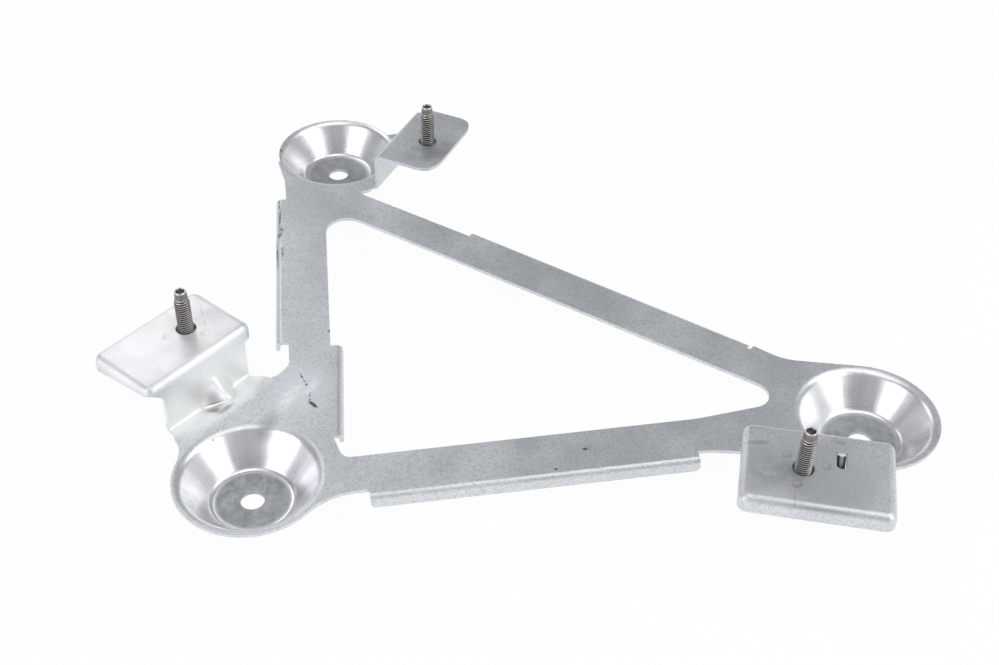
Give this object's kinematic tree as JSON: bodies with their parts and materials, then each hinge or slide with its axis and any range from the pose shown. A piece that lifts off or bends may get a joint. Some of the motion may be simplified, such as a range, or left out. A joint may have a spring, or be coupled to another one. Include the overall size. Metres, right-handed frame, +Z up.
{
  "type": "radio amplifier bracket",
  "caption": "Pressed sheet-steel mounting bracket: a triangular frame with drawn feet and raised tabs that carry weld studs.",
  "frame": {"origin": "centre of the left foot's bolt hole, on the underside of the foot", "axes": "+Z up along the studs, +X from the left foot to the right foot, +Y to the rear foot"},
  "size_m": [0.3146, 0.295, 0.05],
  "materials": {
    "zinc_coated_sheet": "fine grained zinc coating",
    "stud_steel": "plain rolled thread"
  },
  "bodies": {
    "root": {"pressed_frame": "zinc_coated_sheet", "weld_stud_rear": "stud_steel", "weld_stud_left": "stud_steel", "weld_stud_right": "stud_steel"}
  },
  "joints": []
}
